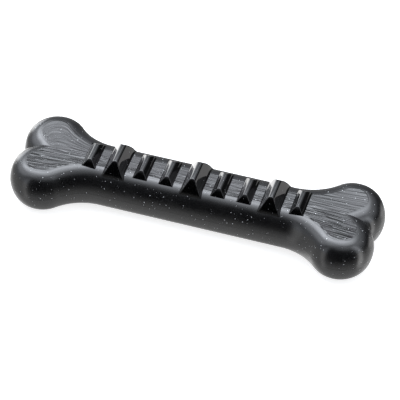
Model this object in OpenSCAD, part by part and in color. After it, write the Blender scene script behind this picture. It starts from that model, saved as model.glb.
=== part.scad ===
// Ribbed rubber chew bone: a solid moulded bone with a flat back, rounded flanks and a
// knuckle pair at each end, and a row of wedge ribs keyed into sockets along its back.
// Millimetres. +X runs to the right end, +Y to the far side, +Z up. The origin is at the
// middle of the face that the bone rests on.

/* [Bone] */
// Overall length over the knuckles
overall_l = 190; // [170:1:230]
// Thickness between the flat back and the flat underside
thickness = 25; // [23:0.5:30]
// Width of the shaft between the knuckles
shaft_w = 30; // [28:0.5:34]
// How far the rounded flank stands out past the edge of the flat, seen from above
flank_round = 9.3; // [8.9:0.1:10]
// Radius of the shoulder where the flat turns down into the flank
shoulder_r = 8.5; // [7.5:0.1:8.8]

/* [Knuckles] */
// Radius of a knuckle, seen from above
knuckle_r = 16.7; // [15.5:0.1:19]
// Radius of the hollow sweep from the shaft to a knuckle
sweep_r = 26; // [22:0.5:32]
// Radius of the slight crown on the flat's edge where a knuckle runs into the end notch
notch_side_r = 60; // [40:5:120]

/* [Rib row] */
// Distance from one rib to the next
rib_pitch = 13.6; // [13.2:0.1:14.6]
// Clearance between a rib's root and the walls of its socket
root_gap = 0.1; // [0.05:0.01:0.2]

/* [Tall ribs] */
// Height of a tall rib above the flat
tall_h = 6.1; // [4.5:0.1:7.5]
// Width of a tall rib's crest, along the bone
tall_crest_w = 2.3; // [1.6:0.1:3]
// Length of a tall rib's crest, across the bone
tall_crest_l = 12.2; // [10:0.1:14]
// Width of a tall rib where it leaves the flat
tall_base_w = 10.8; // [9:0.1:11.4]
// Width of a tall rib at its feet, down on the flanks
tall_foot_w = 11.8; // [11.5:0.1:12.4]
// Length of a tall rib over its feet, across the bone
tall_foot_l = 21.8; // [20:0.1:22.4]
// Drop of a tall rib's feet below the flat
tall_foot_drop = 1.9; // [1.6:0.1:2.2]
// Depth of a tall rib's root below the flat
tall_root = 4; // [3:0.1:5]
// Radius of the arched ends of a tall rib
tall_arch_r = 13.2; // [10:0.1:16]

/* [Small ribs] */
// Height of a small rib above the flat
small_h = 2.9; // [2.2:0.1:4]
// Width of a small rib's crest, along the bone
small_crest_w = 1.8; // [1.2:0.1:2.4]
// Length of a small rib's crest, across the bone
small_crest_l = 10.8; // [9:0.1:12]
// Width of a small rib where it leaves the flat
small_base_w = 7.2; // [5.5:0.1:7.5]
// Width of a small rib at its feet, down on the flanks
small_foot_w = 7.6; // [7.5:0.1:8.2]
// Length of a small rib over its feet, across the bone
small_foot_l = 17.6; // [16.4:0.1:18.4]
// Drop of a small rib's feet below the flat
small_foot_drop = 0.9; // [0.7:0.1:1.2]
// Depth of a small rib's root below the flat
small_root = 3; // [2:0.1:4]
// Radius of the arched ends of a small rib
small_arch_r = 9.5; // [7:0.1:14]

/* [Hidden] */
NODES = ["bone_body", "small_rib_1", "tall_rib_2", "small_rib_3", "small_rib_4", "tall_rib_5",
         "small_rib_6", "small_rib_7", "tall_rib_8", "small_rib_9"];
$fn = 96;

body_black = [0.10, 0.10, 0.11];
rib_black = [0.04, 0.04, 0.045];

// How far a cutting or clipping shape runs past what it trims
overrun = 40;
// Width of the strip of flat that each flank section carries inwards
land = 3;
// How far the shaft's flank runs on inside the sweep
lap = 3;

half_t = thickness / 2;
shaft_flat = shaft_w / 2 - flank_round;
knuckle_flat = knuckle_r - flank_round;
sweep_flat = sweep_r + flank_round;

// The flank is two arcs that meet smoothly: the shoulder, which leaves the flat level, and a
// longer side arc, which is upright at mid thickness.
side_r = (flank_round^2 + half_t^2 - 2 * half_t * shoulder_r) / (2 * (flank_round - shoulder_r));
side_centre = [flank_round - side_r, 0];
shoulder_centre = [0, half_t - shoulder_r];

// Seen from above, the sweep turns the shaft's edge through half a right angle into the
// knuckle, and the side of the notch leaves the knuckle at the same slant.
slant = 45;
downhill = [cos(slant), -sin(slant)];
knuckle = [overall_l / 2 - knuckle_r, shaft_w / 2 + sweep_r - (sweep_r + knuckle_r) * sin(slant)];
to_sweep = -(sweep_r + knuckle_r) * downhill;
to_notch_side = -(notch_side_r - knuckle_flat) * downhill;
notch_side = knuckle + to_notch_side;
notch_point = [notch_side.x + sqrt(notch_side_r^2 - notch_side.y^2), 0];

// Every third rib of the row is a tall one, and a small one stands at each end
rib_count = len(NODES) - 1;
function is_tall(i) = i % 3 == 1;

function polar(r, a) = [r * cos(a), r * sin(a)];

// Centre of the arc of radius r that bulges up and out from p down to q
function arc_centre(p, q, r) =
    let (chord = q - p, l = norm(chord), out = [-chord.y, chord.x] / l)
    (p + q) / 2 - out * sqrt(r^2 - l^2 / 4);

function mirrored(points, sx, sy) = [for (p = points) [p.x * sx, p.y * sy]];
function backwards(points) = [for (i = [len(points) - 1 : -1 : 0]) points[i]];

// Section of the rim: x is the distance out from the flat's edge, y the height from mid
// thickness. The shoulder and side arcs change over on the ray through their centres.
module rim_section() {
    ray_end = side_centre + overrun * (shoulder_centre - side_centre) / norm(shoulder_centre - side_centre);
    intersection() {
        translate([-land, -half_t]) square([land + overrun, thickness]);
        union() {
            translate([-land, -half_t]) square([land, thickness]);
            for (side = [0, 1])
                mirror([0, side])
                    intersection() {
                        translate(shoulder_centre) circle(shoulder_r);
                        polygon([side_centre, ray_end, [ray_end.x, overrun], [side_centre.x, overrun]]);
                    }
            intersection() {
                translate(side_centre) circle(side_r);
                polygon([side_centre, ray_end, [ray_end.x, -ray_end.y]]);
            }
        }
    }
}

// Moves by v in a round step and a small one, so that no digit of v is lost
module shift(v) {
    round_step = [for (c = v) round(c)];
    fine_step = [for (c = v - round_step) round(c * 1000) / 1000];
    translate(round_step) translate(fine_step) translate(v - round_step - fine_step) children();
}

// The +X +Y corner of the bone's rim: a knuckle, the sweep that it leaves, the shaft's flank
// beyond the sweep, and the side of the notch. The knuckle is a full turn, so the sweep and the
// side of the notch grow out of it, and the shaft's flank ends inside the sweep.
module corner() {
    translate([knuckle.x, knuckle.y]) {
        rotate_extrude() {
            translate([0, -half_t]) square([knuckle_flat, thickness]);
            translate([knuckle_flat, 0]) rim_section();
        }
        shift([to_sweep.x, to_sweep.y, 0]) {
            rotate_extrude(angle = slant, start = -90)
                translate([sweep_flat, 0]) mirror([1, 0]) rim_section();
            translate([lap, 0, 0])
                rotate([90, 0, -90])
                    linear_extrude(overall_l) translate([sweep_flat, 0]) mirror([1, 0]) rim_section();
        }
        shift([to_notch_side.x, to_notch_side.y, 0])
            rotate_extrude(angle = slant, start = -2 * slant)
                translate([notch_side_r, 0]) rim_section();
    }
}

// Edge of the middle, halfway in under the strips of flat, for one corner
middle_edge = concat(
    [[0, shaft_flat - land / 2]],
    [for (i = [0 : 3]) knuckle + to_sweep + polar(sweep_flat + land / 2, -90 + i * slant / 3)],
    [knuckle, knuckle + (knuckle_flat - land / 2) * downhill, notch_point - [land, 0]]);

// Full thickness in the middle of the bone
module middle() {
    linear_extrude(thickness, center = true)
        polygon(concat(middle_edge, backwards(mirrored(middle_edge, 1, -1)),
                       mirrored(middle_edge, -1, -1), backwards(mirrored(middle_edge, -1, 1))));
}

// The plain bone, without its sockets
module bone_blank() {
    translate([0, 0, half_t]) {
        middle();
        for (end = [0, 1], side = [0, 1])
            mirror([end, 0, 0]) mirror([0, side, 0])
                intersection() {
                    corner();
                    translate([0, 0, -overrun]) cube([overall_l, overrun, 2 * overrun]);
                }
    }
}

// A rib: a wedge with a dovetail root, seen along Y, crossed with a low arch, seen along X.
// z is 0 at the flat. gap moves the walls outwards, which makes the cutter of the rib's socket,
// and the rib's root stands on the socket's floor.
module rib(h, crest_w, crest_l, base_w, foot_w, foot_l, foot_drop, root, arch_r, gap) {
    side = [[crest_w / 2 + gap, h], [base_w / 2 + gap, 0], [foot_w / 2 + gap, -foot_drop],
            [foot_w / 2 + gap, -root]];
    arch = arc_centre([crest_l / 2, h], [foot_l / 2, -foot_drop], arch_r);
    intersection() {
        rotate([90, 0, 0])
            linear_extrude(foot_l + overrun, center = true)
                polygon(concat(side, backwards(mirrored(side, -1, 1))));
        rotate([90, 0, 90])
            linear_extrude(foot_w + overrun, center = true)
                for (end = [0, 1])
                    mirror([end, 0])
                        intersection() {
                            translate(arch) circle(arch_r + gap);
                            translate([0, -root]) square([foot_l / 2 + gap, root + h]);
                        }
    }
}

module tall_rib(gap = 0) {
    rib(tall_h, tall_crest_w, tall_crest_l, tall_base_w, tall_foot_w, tall_foot_l, tall_foot_drop,
        tall_root, tall_arch_r, gap);
}

module small_rib(gap = 0) {
    rib(small_h, small_crest_w, small_crest_l, small_base_w, small_foot_w, small_foot_l,
        small_foot_drop, small_root, small_arch_r, gap);
}

// Rib i of the row in its place on the flat, or its socket's cutter
module rib_at(i, gap = 0) {
    translate([(i - (rib_count - 1) / 2) * rib_pitch, 0, thickness])
        if (is_tall(i)) tall_rib(gap);
        else small_rib(gap);
}

module bone_body() {
    color(body_black)
        difference() {
            bone_blank();
            for (i = [0 : rib_count - 1]) rib_at(i, root_gap);
        }
}

module seated_rib(i) {
    color(rib_black) rib_at(i);
}

bone_body();
for (i = [0 : rib_count - 1])
    seated_rib(i);
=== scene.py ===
import bmesh
import bpy
import numpy as np
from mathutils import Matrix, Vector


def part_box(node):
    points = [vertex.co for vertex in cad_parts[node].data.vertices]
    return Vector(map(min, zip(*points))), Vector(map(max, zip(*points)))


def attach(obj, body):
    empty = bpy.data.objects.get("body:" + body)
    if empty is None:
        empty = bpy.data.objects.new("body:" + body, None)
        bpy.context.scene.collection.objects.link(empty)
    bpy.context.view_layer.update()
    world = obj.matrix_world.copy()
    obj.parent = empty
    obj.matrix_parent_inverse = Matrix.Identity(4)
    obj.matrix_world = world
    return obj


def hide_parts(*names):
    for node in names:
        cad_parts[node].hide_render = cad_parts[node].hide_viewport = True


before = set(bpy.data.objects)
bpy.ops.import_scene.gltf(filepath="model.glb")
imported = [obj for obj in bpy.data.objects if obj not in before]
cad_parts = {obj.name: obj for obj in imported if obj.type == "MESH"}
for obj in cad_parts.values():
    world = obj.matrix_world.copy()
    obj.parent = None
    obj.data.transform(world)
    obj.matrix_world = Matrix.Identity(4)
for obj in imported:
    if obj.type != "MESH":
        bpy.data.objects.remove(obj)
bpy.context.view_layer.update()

# Bone body
# One solid moulding of satin black rubber with white flecks in it. Its back and underside are
# flat and its flanks full and round, and a thin flash line runs round the middle of the flanks,
# where the two halves of the mould met.

mm = 0.001
bone_low, bone_high = (np.array(corner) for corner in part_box("bone_body"))
half_length = (bone_high[0] - bone_low[0]) / 2
half_thickness = (bone_high[2] - bone_low[2]) / 2
shaft_width = 30 * mm
flank_round = 9.3 * mm
shoulder_radius = 8.5 * mm
side_radius = 18.9 * mm
knuckle_radius = 16.7 * mm
sweep_radius = 26 * mm
notch_side_radius = 60 * mm
slant = np.radians(45)

knuckle_flat = knuckle_radius - flank_round
sweep_flat = sweep_radius + flank_round
downhill = np.array([np.cos(slant), -np.sin(slant)])
knuckle = np.array([
    half_length - knuckle_radius,
    shaft_width / 2 + sweep_radius - (sweep_radius + knuckle_radius) * np.sin(slant)])
sweep = knuckle - (sweep_radius + knuckle_radius) * downhill
notch_side = knuckle - (notch_side_radius - knuckle_flat) * downhill
side_centre = flank_round - side_radius
shoulder_height = half_thickness - shoulder_radius
join_angle = np.arctan2(shoulder_height, -side_centre)

columns = dict(shaft=30, sweep=32, knuckle=64, turn=5, notch_side=18)
flat_rows, flank_rows = 10, 44
row_crowding = 1.6
spine_share = 0.94
hairline = 2e-5 * mm


def arc(centre, radius, start, stop, count):
    """Points of an arc: centre plus radius times the direction, whose angle runs evenly."""
    angle = np.linspace(start, stop, count)
    out = np.stack([np.cos(angle), np.sin(angle)], 1)
    return centre + radius * out, out


def flat_edge():
    """The flat's edge in the +X +Y quarter, and the way out from it across the flank.

    A straight run beside the shaft, a hollow arc into the knuckle, the knuckle's own arc and
    a last, slow arc down the side of the end notch to the middle of the bone. The knuckle's
    arc has a point at the angle where its flank first meets the middle of the bone.
    """
    straight = np.stack([np.linspace(0, sweep[0], columns["shaft"]),
                         np.full(columns["shaft"], shaft_width / 2 - flank_round)], 1)
    hollow, inward = arc(sweep, sweep_flat, -np.pi / 2, -slant, columns["sweep"])
    meets = -np.arcsin(knuckle[1] / knuckle_radius)
    round_end, round_out = arc(knuckle, knuckle_flat, np.pi - slant, meets, columns["knuckle"])
    turn, turn_out = arc(knuckle, knuckle_flat, meets, -slant, columns["turn"])
    tip = -np.arcsin(notch_side[1] / notch_side_radius)
    side, side_out = arc(notch_side, notch_side_radius, -slant, tip, columns["notch_side"])
    edge = np.concatenate([straight, hollow[1:], round_end[1:], turn[1:], side[1:]])
    out = np.concatenate([np.tile([0.0, 1.0], (columns["shaft"], 1)), -inward[1:],
                          round_out[1:], turn_out[1:], side_out[1:]])
    edge[-1, 1] = 0
    return edge, out


def flank_angles(reach, count):
    """Angles of the section, from upright at the flat's edge down to where reach is used up.

    The share of the way grows as 1 - (1 - t) ^ row_crowding, which crowds the rows at the
    mould line.
    """
    join = shoulder_radius * np.cos(join_angle)
    last = np.where(reach < join,
                    np.arccos(np.clip(reach / shoulder_radius, 0, 1)),
                    np.arccos(np.clip((reach - side_centre) / side_radius, -1, 1)))
    share = 1 - (1 - np.linspace(0, 1, count)) ** row_crowding
    return np.pi / 2 - share[None, :] * (np.pi / 2 - last[:, None])


def eased(value, start, stop):
    """0 before start, 1 past stop, and 3 t^2 - 2 t^3 in between."""
    t = np.clip((value - start) / (stop - start), 0, 1)
    return 3 * t ** 2 - 2 * t ** 3


flash_height, flash_width = 0.05 * mm, 0.2 * mm
flash_run_out = 1 * mm
dish = 0.5 * mm
dish_start, dish_full = 58.5 * mm, 86 * mm
dish_run_out = 6 * mm


def bone_eighth():
    """Upper +X +Y eighth of the bone, as a grid of points.

    Along the grid runs the flat's edge. Across it, straight lines go from the middle of the
    bone to the edge, and then the flank's two arcs go down to mid thickness, each at its
    radius times the cosine of the angle out and times the sine up. In the end notch they stop
    in a crease at the middle of the bone. The lines start abreast of the edge along the shaft
    and lag behind it in the knuckle: abreast of the knuckle's centre they start at spine_share
    of the distance out to the notch's tip.

    The flash stands out by a bell curve of the height, exp(-(height / flash_width)^2), and
    runs out at the notch. The dish sinks the flat by an eased step along the bone, times
    1 - (y / outermost y)^2 across it, and runs out on the way down the shoulder.
    """
    edge, out = flat_edge()
    tip = edge[-1, 0]
    spine = np.minimum(edge[:, 0], np.interp(edge[:, 0], [0, sweep[0], knuckle[0], half_length],
                                             [0, sweep[0], spine_share * tip, tip]))
    past_knuckle = np.arange(len(edge)) > np.argmax(edge[:, 0])
    spine = np.minimum(np.maximum.accumulate(np.where(past_knuckle, tip, spine)), tip)
    share = np.linspace(0, 1, flat_rows)[None, :, None]
    middle = np.stack([spine, np.zeros_like(spine)], 1)[:, None, :]
    flat = middle + (edge[:, None, :] - middle) * share
    flat = np.concatenate([flat, np.full(flat.shape[:2] + (1,), half_thickness)], 2)

    reach = np.full(len(edge), flank_round)
    inwards = out[:, 1] < 0
    reach[inwards] = np.minimum(flank_round, edge[inwards, 1] / -out[inwards, 1])
    angle = flank_angles(reach, flank_rows)[:, 1:]
    upper = angle > join_angle
    distance = np.where(upper, shoulder_radius * np.cos(angle),
                        side_centre + side_radius * np.cos(angle))
    height = np.where(upper, shoulder_height + shoulder_radius * np.sin(angle),
                      side_radius * np.sin(angle))
    off_notch = eased(edge[:, 1] + out[:, 1] * flank_round, 0, flash_run_out)[:, None]
    distance = distance + flash_height * off_notch * np.exp(-(height / flash_width) ** 2)
    flank = edge[:, None, :] + out[:, None, :] * distance[:, :, None]
    flank[:, :, 1] = np.where(flank[:, :, 1] < hairline, 0, flank[:, :, 1])
    flank = np.concatenate([flank, height[:, :, None]], 2)
    grid = np.concatenate([flat, flank], 1)

    sunk = eased(grid[:, :, 0], dish_start, dish_full)
    sunk = sunk * (1 - np.clip(grid[:, :, 1] / (knuckle[1] + knuckle_flat), 0, 1) ** 2)
    grid[:, :, 2] -= dish * sunk * eased(grid[:, :, 2], half_thickness - dish_run_out, half_thickness)
    return grid


fan_share = 0.22
fan_start, fan_run = 50 * mm, 35 * mm
straight_share = 0.3
outline_width = 9 * mm
crowd_width, crowd_least = 16 * mm, 0.4
fade_start, fade_end = 64 * mm, 74 * mm
notch_bare, notch_full = 3 * mm, 12 * mm


def grain_lines(points):
    """Where the fine grain of the back runs, and how deep it is, for each quarter.

    The first value of a pair is u along a grain line and v across the lines, and the second
    is the depth. The lines run along the bone, where u is x, and fan out towards its ends,
    where v is y less a share of it that grows to fan_share over fan_run. Only in the far left
    quarter they leave the middle to follow the outline. There u eases from x in the middle to
    the way along the flat's edge at straight_share of the way out to it, v is outline_width
    times the share of the way out, and the lines are shallower where they crowd. On the left
    they fade out in the middle between the knuckles, and towards the notch. The flanks have
    none.
    """
    edge, _ = flat_edge()
    x, y = points[..., 0], points[..., 1]
    along = np.cumsum(np.append(0, np.hypot(*np.diff(edge, axis=0).T)))
    share = np.append(np.linspace(0, 1, flat_rows), np.linspace(1, 2, flank_rows)[1:])[None, :]
    off_middle = eased(share, 0, straight_share)
    straight = np.stack([x, y * (1 - fan_share * np.clip((x - fan_start) / fan_run, 0, 1))], -1)
    round_about = np.stack([x + (along[:, None] - x) * off_middle,
                            outline_width * np.broadcast_to(share, x.shape)], -1)
    on_flat = np.broadcast_to(share <= 1, x.shape).astype(float)
    crowded = np.clip(edge[:, 1] / crowd_width, crowd_least, 1)[:, None]
    crowded = np.where(edge[:, 0:1] > knuckle[0], 1, 1 + (crowded - 1) * off_middle)
    to_notch = (along[-1] - along)[:, None]
    between_knuckles = eased(x, fade_start, fade_end) * (1 - off_middle)
    kept = on_flat * (1 - between_knuckles) * eased(to_notch, notch_bare, notch_full)
    return {(1, 1): (straight, on_flat), (1, -1): (straight, on_flat),
            (-1, 1): (round_about, kept * crowded), (-1, -1): (straight, kept)}


def whole_bone():
    """All eight mirrored copies of the grid, joined into one closed surface.

    Copies mirrored an odd number of times keep the grid's order of corners and the others have
    it turned round, so that all faces point outwards. Points of two copies that lie within a
    hairline of each other are merged.
    """
    grid = bone_eighth()
    lines = grain_lines(grid)
    count, rows = grid.shape[:2]
    index = np.arange(count * rows).reshape(count, rows)
    quads = np.stack([index[:-1, :-1], index[:-1, 1:], index[1:, 1:], index[1:, :-1]], -1)
    quads = quads.reshape(-1, 4)
    places, faces, grain, depth = [], [], [], []
    for sx in (1, -1):
        for sy in (1, -1):
            for sz in (1, -1):
                places.append((grid * [sx, sy, sz]).reshape(-1, 3))
                copy = quads if sx * sy * sz < 0 else quads[:, ::-1]
                faces.append(copy + len(faces) * count * rows)
                grain.append((lines[sx, sy][0] * [sx, sy]).reshape(-1, 2))
                depth.append(lines[sx, sy][1].ravel())
    places = np.concatenate(places) + [0, 0, half_thickness + bone_low[2]]
    faces = np.concatenate(faces)
    grain = np.concatenate(grain)[faces.ravel()]
    depth = np.concatenate(depth)[faces.ravel()]
    mesh = bpy.data.meshes.new("bone_rubber")
    mesh.from_pydata(places, [], faces)
    mesh.uv_layers.new(name="grain").data.foreach_set("uv", grain.ravel())
    mesh.uv_layers.new(name="depth").data.foreach_set("uv", np.repeat(depth, 2))
    joined = bmesh.new()
    joined.from_mesh(mesh)
    bmesh.ops.remove_doubles(joined, verts=joined.verts, dist=hairline)
    joined.to_mesh(mesh)
    joined.free()
    return mesh


def link(owner, kind, **inputs):
    """A shader node of that kind. Each input is a value, or the output of another node.

    A name that no input of the node has is one of its settings.
    """
    node = owner.node_tree.nodes.new(kind)
    for name, value in inputs.items():
        name = name.replace("_", " ")
        if isinstance(value, bpy.types.NodeSocket):
            owner.node_tree.links.new(value, node.inputs[name])
        elif name in node.inputs:
            node.inputs[name].default_value = value
        else:
            setattr(node, name.replace(" ", "_"), value)
    return node


def ramp(owner, value, start, stop, low=0.0, high=1.0):
    """Value carried from start to stop smoothly onto low to high, and held past both ends."""
    node = link(owner, "ShaderNodeMapRange", Value=value)
    node.interpolation_type = "SMOOTHSTEP"
    for name, level in (("From Min", start), ("From Max", stop), ("To Min", low), ("To Max", high)):
        node.inputs[name].default_value = level
    return node.outputs["Result"]


def mathematics(owner, operation, first, second=0.0):
    """One sum, product or the like of two values."""
    node = owner.node_tree.nodes.new("ShaderNodeMath")
    node.operation = operation
    for slot, value in zip(node.inputs, (first, second)):
        if isinstance(value, bpy.types.NodeSocket):
            owner.node_tree.links.new(value, slot)
        else:
            slot.default_value = value
    return node.outputs[0]


def blended(owner, factor, first, second):
    """The first colour where factor is 0, the second where it is 1, and their mix between."""
    node = link(owner, "ShaderNodeMix", data_type="RGBA")
    owner.node_tree.links.new(factor, node.inputs["Factor"])
    slots = [slot for slot in node.inputs if slot.type == "RGBA"]
    for slot, colour in zip(slots, (first, second)):
        slot.default_value = (*colour, 1)
    return next(slot for slot in node.outputs if slot.type == "RGBA")


def new_material(name):
    """A material, its surface shader, and the place on the piece for its patterns."""
    material = bpy.data.materials.new(name)
    material.use_nodes = True
    place = link(material, "ShaderNodeTexCoord").outputs["Object"]
    return material, material.node_tree.nodes["Principled BSDF"], place


fleck_bend_size, fleck_bend = 0.5 * mm, 0.35 * mm
fleck_core, fleck_rim = 0.75, 1.15


def flecks(material, place, cell, radius, share):
    """White flecks: the insides of small spheres round points that are strewn one to a cell.

    That share of the points carry a fleck, and a noise bends the spheres out of round. A
    fleck is full up to fleck_core of its radius and gone at fleck_rim of it.
    """
    wire = material.node_tree.links.new
    bend = link(material, "ShaderNodeTexNoise", Vector=place, Scale=1 / fleck_bend_size,
                Detail=1.0)
    shift = link(material, "ShaderNodeVectorMath", operation="SCALE")
    wire(bend.outputs["Color"], shift.inputs[0])
    shift.inputs["Scale"].default_value = fleck_bend
    moved = link(material, "ShaderNodeVectorMath", operation="ADD")
    wire(place, moved.inputs[0])
    wire(shift.outputs[0], moved.inputs[1])
    cells = link(material, "ShaderNodeTexVoronoi", Vector=moved.outputs[0], Scale=1 / cell)
    inside = ramp(material, cells.outputs["Distance"], start=fleck_core * radius / cell,
                  stop=fleck_rim * radius / cell, low=1, high=0)
    pick = link(material, "ShaderNodeSeparateColor", Color=cells.outputs["Color"])
    chosen = mathematics(material, "LESS_THAN", pick.outputs["Red"], share)
    return mathematics(material, "MULTIPLY", inside, chosen)


body_black, fleck_white = (0.008, 0.008, 0.0084), (0.62, 0.63, 0.64)
mottle_size, satin_size = 7 * mm, 0.35 * mm
satin_depth, grain_depth = 0.012 * mm, 0.14 * mm
score_depth = 2.3
scores_start, scores_full = 3 * mm, -6 * mm


def body_rubber():
    """Satin black rubber, with flecks, a soft mottle, and fine grain lines on the flats.

    Darker scores are cut by up to score_depth times grain_depth. They begin at scores_start
    across the bone and are full from scores_full on, on the near half.
    """
    material, shader, place = new_material("body_rubber")
    wire = material.node_tree.links.new

    white = mathematics(material, "MAXIMUM",
                        flecks(material, place, cell=2.6 * mm, radius=0.24 * mm, share=0.75),
                        flecks(material, place, cell=1.7 * mm, radius=0.13 * mm, share=0.5))
    wire(blended(material, white, body_black, fleck_white), shader.inputs["Base Color"])
    mottle = link(material, "ShaderNodeTexNoise", Vector=place, Scale=1 / mottle_size, Detail=3.0)
    wire(ramp(material, mottle.outputs["Fac"], start=0.3, stop=0.7, low=0.20, high=0.27),
         shader.inputs["Roughness"])
    shader.inputs["IOR"].default_value = 1.8

    def lined(length, width, detail):
        """Noise drawn out along the grain lines."""
        lines = link(material, "ShaderNodeUVMap", uv_map="grain").outputs["UV"]
        drawn_out = link(material, "ShaderNodeVectorMath", operation="MULTIPLY")
        wire(lines, drawn_out.inputs[0])
        drawn_out.inputs[1].default_value = (1 / length, 1 / width, 1)
        return link(material, "ShaderNodeTexNoise", Vector=drawn_out.outputs[0], Scale=1.0,
                    Detail=detail).outputs["Fac"]

    across = link(material, "ShaderNodeSeparateXYZ", Vector=place).outputs["Y"]
    near = ramp(material, across, scores_start, scores_full)
    cuts = ramp(material, lined(length=22 * mm, width=1.3 * mm, detail=1.0), start=0.48,
                stop=0.62, low=0, high=-score_depth)
    scores = mathematics(material, "MULTIPLY", near, cuts)
    grain = mathematics(material, "ADD", lined(length=16 * mm, width=1.0 * mm, detail=1.2),
                        scores)
    depth = link(material, "ShaderNodeUVMap", uv_map="depth").outputs["UV"]
    grain_height = mathematics(material, "MULTIPLY", grain,
                               link(material, "ShaderNodeSeparateXYZ", Vector=depth).outputs["X"])
    fine = link(material, "ShaderNodeTexNoise", Vector=place, Scale=1 / satin_size, Detail=2.0)
    satin = link(material, "ShaderNodeBump", Height=fine.outputs["Fac"], Strength=1.0,
                 Distance=satin_depth)
    grained = link(material, "ShaderNodeBump", Height=grain_height, Strength=1.0,
                   Distance=grain_depth, Normal=satin.outputs["Normal"])
    wire(grained.outputs["Normal"], shader.inputs["Normal"])
    return material


bone = bpy.data.objects.new("bone_rubber", whole_bone())
bpy.context.scene.collection.objects.link(bone)
bone.data.materials.append(body_rubber())

# Sockets
# Nine pockets in the back of the bone take the roots of the ribs. A pocket has the form of its
# rib, which is widest at the root, with root_gap between their walls, so that the rib is keyed
# in and stands on the pocket's floor.

rib_nodes = sorted(set(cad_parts) - {"bone_body"}, key=lambda name: name[-1])
rib_pitch = 13.6 * mm
root_gap = 0.1 * mm
socket_round = 0.05 * mm
edge_round = 0.2 * mm
crease_angle = np.radians(32)

# In millimetres. A crest and a foot have a width along the bone and a length across it.
rib_sizes = {
    "tall": dict(height=6.1, crest=(2.3, 12.2), base=10.8, foot=(11.8, 21.8), drop=1.9, root=4,
                 arch=13.2),
    "small": dict(height=2.9, crest=(1.8, 10.8), base=7.2, foot=(7.6, 17.6), drop=0.9, root=3,
                  arch=9.5)}

flare_start, flare_end = np.radians(30), np.radians(60)
end_round_share = 0.4
settled_share = 0.7
widest_bend_share = 0.9
flare_margin = 0.02 * mm
flare_rings, wall_rings, crest_rings = 8, 8, 9
corner_points, side_points = 7, 24
settling_steps = 25


def softened(height, wall, slope, top, radius):
    """A wall's distance out at each height, rounded over into a level top.

    The wall leans in by slope. Above the height where a circle of the given radius touches
    both the wall and the top, the circle's own distance out takes over.
    """
    centre_height = top - radius
    tangent = centre_height + radius * np.sin(slope)
    centre = np.interp(tangent, height, wall) - radius * np.cos(slope)
    circle = centre + np.sqrt(np.clip(radius ** 2 - (height - centre_height) ** 2, 0, None))
    return np.where(height > tangent, circle, wall)


def surface_drop(y):
    """How far the bone's own surface has sunk below the flat at a distance y from its middle.

    Past the flat's edge it is the drop of the shoulder's circle, r - sqrt(r^2 - past^2).
    """
    past = np.clip(np.abs(y) - (shaft_width / 2 - flank_round), 0, shoulder_radius)
    return shoulder_radius - np.sqrt(shoulder_radius ** 2 - past ** 2)


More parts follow.
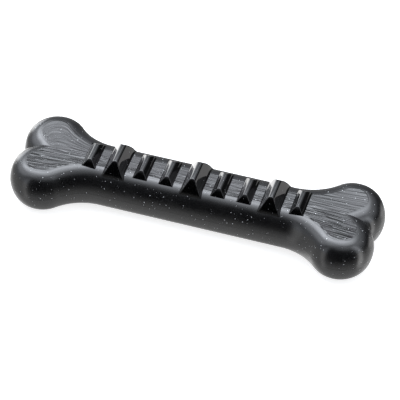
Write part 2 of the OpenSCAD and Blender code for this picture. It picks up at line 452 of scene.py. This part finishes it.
def wedge(size, gap, radius, flare):
    """A rib as rings of a rounded oblong, from the root's floor up to the crest.

    rise is the height above the bone's surface, which sinks away towards the rib's ends, and
    settle is how much of that sinking a ring follows: (1 - t)^2, where t goes from 0 at the
    surface to 1 at settled_share of the height. The root follows none of it, and nor does a
    form without a flare, such as a socket's.

    The walls are upright round the root and lean in above the foot. From the surface they
    sweep up in a hollow arc, the flare, whose normal turns from flare_start to flare_end off
    upright, and then run straight. The ends are arcs that bulge up and out. The walls round
    over into the crest by radius, and the ends by end_round_share of it. A ring lies
    flare_margin past either end of the flare: the lower one keeps the flare's smooth shading
    off the wall below, and the upper one is on the straight wall.

    A ring's corners are rounded by edge_round, or by widest_bend_share of half its width where
    that is less. It has no point on either middle line, where the bone has edges of its own.
    """
    top, drop, root = size["height"] * mm, size["drop"] * mm, size["root"] * mm
    crest_w, crest_l = (full * mm / 2 for full in size["crest"])
    foot_w, foot_l = (full * mm / 2 for full in size["foot"])
    base_w, arch = size["base"] * mm / 2, size["arch"] * mm
    chord = np.array([foot_l - crest_l, -drop - top])
    outward = np.array([-chord[1], chord[0]]) / np.hypot(*chord)
    centre = (np.array([crest_l + foot_l, top - drop]) / 2
              - outward * np.sqrt(arch ** 2 - chord @ chord / 4))
    over = np.sin(np.linspace(0, np.pi / 2, crest_rings))
    rise = np.concatenate([[-root, -drop, -flare_margin, 0],
                           np.linspace(0, flare + flare_margin, flare_rings)[1:],
                           np.linspace(flare + flare_margin, top - radius, wall_rings)[1:],
                           top - radius + radius * over[1:]])
    settle = (1 - np.clip(rise / (settled_share * top), 0, 1)) ** 2
    settle = np.where((rise < -drop) | (flare == 0), 0, settle)

    leaning = np.interp(rise, [-root, -drop, 0, flare, top],
                        [foot_w, foot_w, base_w, base_w - flare, crest_w])
    hollow = flare / (np.cos(flare_start) - np.cos(flare_end))
    swept = (base_w + hollow * np.sin(flare_start)
             - np.sqrt(np.clip(hollow ** 2 - (hollow * np.cos(flare_start) - rise) ** 2, 0, None)))
    across = np.where((rise >= 0) & (rise < flare), swept, leaning)
    slope = np.arctan2(base_w - flare - crest_w, top - flare)
    across = softened(rise, across, slope, top, radius) + gap

    def arched(level):
        """The end's distance from the middle, at each height over the flat."""
        bulge = centre[0] + np.sqrt(arch ** 2 - (np.maximum(level, -drop) - centre[1]) ** 2)
        return np.where(level < -drop, foot_l, bulge)

    level = rise
    for _ in range(settling_steps):
        level = rise - settle * surface_drop(arched(level))
    end_slope = np.arcsin((top - centre[1]) / arch)
    endways = softened(level, arched(level), end_slope, top, end_round_share * radius) + gap

    corner = np.linspace(0, np.pi / 2, corner_points)
    turns = np.concatenate([np.append(corner, np.full(side_points, np.pi / 2)) + quarter
                            for quarter in np.pi / 2 * np.arange(4)])
    straight = (1 + np.linspace(-1, 1, side_points + 2)[1:-1, None]) / 2
    signs = np.array([(1, 1), (-1, 1), (-1, -1), (1, -1)])
    ring = np.concatenate([np.concatenate([np.tile(here, (corner_points, 1)),
                                           here + (after - here) * straight])
                           for here, after in zip(signs, np.roll(signs, -1, 0))])
    bend = np.minimum(edge_round + gap, widest_bend_share * across)[:, None]
    y = ring[:, 1] * (endways[:, None] - bend) + bend * np.sin(turns)
    sunk = surface_drop(y) * settle[:, None]
    spread_out = (foot_w - base_w) / drop * np.where(rise > 0, 1, 1 + rise / drop)[:, None] * sunk
    spread_out[0] = 0
    x = ring[:, 0] * (across[:, None] + spread_out - bend) + bend * np.cos(turns)
    return x, y, rise[:, None] - sunk


def closed_wedge(name, size, place, gap, radius, flare):
    """The rings of a wedge, capped by a point in the middle of its floor and of its crest."""
    rings = np.stack(wedge(size, gap, radius, flare), -1)
    rows, count = rings.shape[:2]
    points = np.concatenate([rings.reshape(-1, 3),
                             [[0, 0, rings[0, 0, 2]], [0, 0, rings[-1, 0, 2]]]]) + place
    index = np.arange(rows * count).reshape(rows, count)
    beside = np.roll(index, -1, 1)
    walls = np.stack([index[:-1], beside[:-1], beside[1:], index[1:]], -1).reshape(-1, 4)
    floor_fan = np.stack([beside[0], index[0], np.full(count, rows * count)], -1)
    crest_fan = np.stack([index[-1], beside[-1], np.full(count, rows * count + 1)], -1)
    mesh = bpy.data.meshes.new(name)
    mesh.from_pydata(points, [], [*walls, *floor_fan, *crest_fan])
    piece = bpy.data.objects.new(name, mesh)
    bpy.context.scene.collection.objects.link(piece)
    piece.data.shade_smooth()
    return piece


def seat(node):
    """The kind and number of a rib, and its place, one pitch for each number off the middle."""
    kind, _, number = node.split("_")
    steps = int(number) - (len(rib_nodes) + 1) / 2
    return kind, number, np.array([steps * rib_pitch, 0, bone_high[2]])


def cut_socket(place, size):
    """Takes the room for one rib, with its clearance, out of the bone."""
    cutter = closed_wedge("socket", size, place, root_gap, socket_round, 0.0)
    cut = bone.modifiers.new("socket", "BOOLEAN")
    cut.operation = "DIFFERENCE"
    cut.solver = "EXACT"
    cut.object = cutter
    evaluated = bone.evaluated_get(bpy.context.evaluated_depsgraph_get())
    bone.data = bpy.data.meshes.new_from_object(evaluated)
    bone.modifiers.clear()
    bpy.data.objects.remove(cutter)


def split_wide_faces(mesh):
    """Cuts each face of more than four corners, which the sockets leave, into triangles."""
    tidied = bmesh.new()
    tidied.from_mesh(mesh)
    many_sided = [face for face in tidied.faces if len(face.verts) > 4]
    bmesh.ops.triangulate(tidied, faces=many_sided, ngon_method="BEAUTY")
    tidied.to_mesh(mesh)
    tidied.free()


for node in rib_nodes:
    kind, _, place = seat(node)
    cut_socket(place, rib_sizes[kind])
split_wide_faces(bone.data)
bone.data.shade_smooth()
bone.data.set_sharp_from_angle(angle=crease_angle)
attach(bone, "root")
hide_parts("bone_body")

# Ribs
# Nine wedges of smooth, glossy black rubber, every third one tall. Each is a moulding of its
# own, with a rounded crest, ends that arch down over the edge of the flat, and a foot that
# flares out to the bone, and its root is pressed into its socket.

crest_round = 1.6 * mm
foot_flare = 1.0 * mm
rib_black, sunk_fleck = (0.002, 0.002, 0.002), (0.22, 0.22, 0.23)
sheen_size, wave_size = 5 * mm, 3 * mm
wave_depth = 0.03 * mm


def rib_rubber():
    """Smooth, glossy black rubber, faintly wavy, with a few flecks near its surface."""
    material, shader, place = new_material("rib_rubber")
    wire = material.node_tree.links.new
    spots = flecks(material, place, cell=2.0 * mm, radius=0.18 * mm, share=0.7)
    wire(blended(material, spots, rib_black, sunk_fleck), shader.inputs["Base Color"])
    sheen = link(material, "ShaderNodeTexNoise", Vector=place, Scale=1 / sheen_size, Detail=2.0)
    wire(ramp(material, sheen.outputs["Fac"], start=0.3, stop=0.7, low=0.04, high=0.08),
         shader.inputs["Roughness"])
    shader.inputs["IOR"].default_value = 1.65
    waves = link(material, "ShaderNodeTexNoise", Vector=place, Scale=1 / wave_size, Detail=1.0)
    wavy = link(material, "ShaderNodeBump", Height=waves.outputs["Fac"], Strength=1.0,
                Distance=wave_depth)
    wire(wavy.outputs["Normal"], shader.inputs["Normal"])
    return material


gloss = rib_rubber()
for node in rib_nodes:
    kind, number, place = seat(node)
    rib = closed_wedge(f"{kind}_wedge_{number}", rib_sizes[kind], place, 0.0, crest_round,
                       foot_flare)
    rib.data.materials.append(gloss)
    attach(rib, "root")
    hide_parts(node)

# Floor and light
# White studio paper that keeps a faint shadow, inside a surround of soft light. The light is
# strongest behind the bone on the left, stands in an upright strip on either side, and leaves a
# dark room in front, which the near flanks show as black.

floor_reach = 4.0
floor_level = -0.05 * mm
paper_white, paper_roughness, paper_glow = (0.8, 0.8, 0.8, 1), 0.9, 0.8

floor = bpy.data.objects.new("floor", bpy.data.meshes.new("floor"))
floor.data.from_pydata([(-floor_reach, -floor_reach, floor_level),
                        (floor_reach, -floor_reach, floor_level),
                        (floor_reach, floor_reach, floor_level),
                        (-floor_reach, floor_reach, floor_level)], [], [(0, 1, 2, 3)])
bpy.context.scene.collection.objects.link(floor)
# In the bone's reflections, the lower half of the surround stands in for the paper.
floor.visible_glossy = False

paper = bpy.data.materials.new("white_paper")
paper.use_nodes = True
paper_shader = paper.node_tree.nodes["Principled BSDF"]
paper_shader.inputs["Base Color"].default_value = paper_white
paper_shader.inputs["Roughness"].default_value = paper_roughness
paper_shader.inputs["Specular IOR Level"].default_value = 0.0
paper_shader.inputs["Emission Color"].default_value = (1, 1, 1, 1)
on_paper = link(paper, "ShaderNodeLightPath").outputs["Is Camera Ray"]
paper.node_tree.links.new(mathematics(paper, "MULTIPLY", on_paper, paper_glow),
                          paper_shader.inputs["Emission Strength"])
floor.data.materials.append(paper)

world = bpy.data.worlds.new("surround")
bpy.context.scene.world = world
world.use_nodes = True
sky = world.node_tree.nodes["Background"]
direction = link(world, "ShaderNodeTexCoord").outputs["Generated"]
way = link(world, "ShaderNodeSeparateXYZ", Vector=direction).outputs
strip_fade = 12
haze_falloff = 2.6


def dot(first, axis):
    """The share of a direction that lies along an axis."""
    node = link(world, "ShaderNodeVectorMath", operation="DOT_PRODUCT")
    world.node_tree.links.new(first, node.inputs[0])
    node.inputs[1].default_value = axis
    return node.outputs["Value"]


def patch(azimuth, elevation, inner, outer, brightness):
    """A round patch of light in that direction, full out to inner degrees and gone at outer."""
    azimuth, elevation, inner, outer = np.radians((azimuth, elevation, inner, outer))
    axis = (np.cos(elevation) * np.cos(azimuth), np.cos(elevation) * np.sin(azimuth),
            np.sin(elevation))
    return ramp(world, dot(direction, axis), np.cos(outer), np.cos(inner), 0, brightness)


def strip(azimuth, inner, outer, bottom, top, brightness):
    """An upright strip of light in that direction, full out to inner degrees, gone at outer.

    It stands from bottom to top, and fades over strip_fade degrees to either side of both.
    """
    azimuth, inner, outer, bottom, top, fade = np.radians(
        (azimuth, inner, outer, bottom, top, strip_fade))
    level = link(world, "ShaderNodeVectorMath", operation="MULTIPLY")
    world.node_tree.links.new(direction, level.inputs[0])
    level.inputs[1].default_value = (1, 1, 0)
    level_way = link(world, "ShaderNodeVectorMath", operation="NORMALIZE")
    world.node_tree.links.new(level.outputs[0], level_way.inputs[0])
    across = ramp(world, dot(level_way.outputs[0], (np.cos(azimuth), np.sin(azimuth), 0)),
                  np.cos(outer), np.cos(inner), 0, brightness)
    ends = mathematics(world, "MULTIPLY",
                       ramp(world, way["Z"], np.sin(bottom - fade), np.sin(bottom + fade)),
                       ramp(world, way["Z"], np.sin(top + fade), np.sin(top - fade)))
    return mathematics(world, "MULTIPLY", across, ends)


behind = mathematics(world, "MULTIPLY", ramp(world, way["Y"], start=-0.3, stop=0.3),
                     ramp(world, way["X"], start=0.45, stop=-0.6, low=0.04, high=0.51))
left = ramp(world, way["X"], start=-0.4, stop=-0.75, low=0, high=0.51)
under = ramp(world, way["Z"], start=-0.09, stop=-0.85, low=0, high=0.58)
haze = patch(azimuth=62, elevation=75, inner=12, outer=74, brightness=1.0)
glow = mathematics(world, "MAXIMUM", behind, left)
for light in (under, mathematics(world, "POWER", haze, haze_falloff)):
    glow = mathematics(world, "MAXIMUM", glow, light)

# Azimuth and elevation of each patch, the angles where it is full and where it is gone, and its
# brightness. A strip has its azimuth, the same two angles, its bottom and top, and its brightness.
patches = [(140, 56, 8, 18, 3.0), (158, 53, 18, 42, 1.2), (72, 72, 8, 24, 2.2), (98, 60, 6, 18, 1.7),
           (134, 6, 8, 16, 3.1), (126, -29, 8, 20, 1.5), (138, -11, 5, 13, 2.0),
           (12, 38, 10, 30, 0.35), (134, 44, 4, 13, 2.4), (140, -45, 8, 34, 0.55),
           (62, -48, 8, 30, 0.4), (20, -34, 12, 34, 0.3), (46, -13, 8, 18, 0.95)]
strips = [(-8, 3, 12, -42, 55, 1.8), (-130, 2, 10, -48, 57, 0.55)]
for light in [patch(*row) for row in patches] + [strip(*row) for row in strips]:
    glow = mathematics(world, "ADD", glow, light)

cool_light, white_light = (0.94, 0.985, 1.06), (1, 1, 1)
in_view = link(world, "ShaderNodeLightPath").outputs["Is Camera Ray"]
world.node_tree.links.new(mathematics(world, "MAXIMUM", glow, in_view), sky.inputs["Strength"])
low_down = ramp(world, way["Z"], start=-0.1, stop=0.3, low=1, high=0)
neutral = mathematics(world, "MAXIMUM", low_down, in_view)
world.node_tree.links.new(blended(world, neutral, cool_light, white_light), sky.inputs["Color"])

# Camera
# It looks down on the near side of the bone and a little along it from the right, from so far
# off that the bone's long sides stay nearly parallel. The bone's middle lies at middle_pixel of
# the square picture.

swing, elevation = np.radians(17.784), np.radians(46.012)
distance = 1.3883
pixels_per_mm = 1.98443
picture_pixels = 400
middle_pixel = (196.457, 196.289)
sensor_width = 36
farthest = 20

to_camera = np.array([np.sin(swing) * np.cos(elevation), -np.cos(swing) * np.cos(elevation),
                      np.sin(elevation)])
camera = bpy.data.objects.new("camera", bpy.data.cameras.new("camera"))
bpy.context.scene.collection.objects.link(camera)
bpy.context.scene.camera = camera
camera.location = np.array([0, 0, half_thickness]) + distance * to_camera
camera.rotation_euler = (np.pi / 2 - elevation, 0, swing)
camera.data.sensor_width = sensor_width
camera.data.lens = pixels_per_mm * distance / mm * sensor_width / picture_pixels
camera.data.shift_x = (picture_pixels / 2 - middle_pixel[0]) / picture_pixels
camera.data.shift_y = -(picture_pixels / 2 - middle_pixel[1]) / picture_pixels
camera.data.clip_end = farthest

bpy.context.scene.view_settings.view_transform = "Standard"
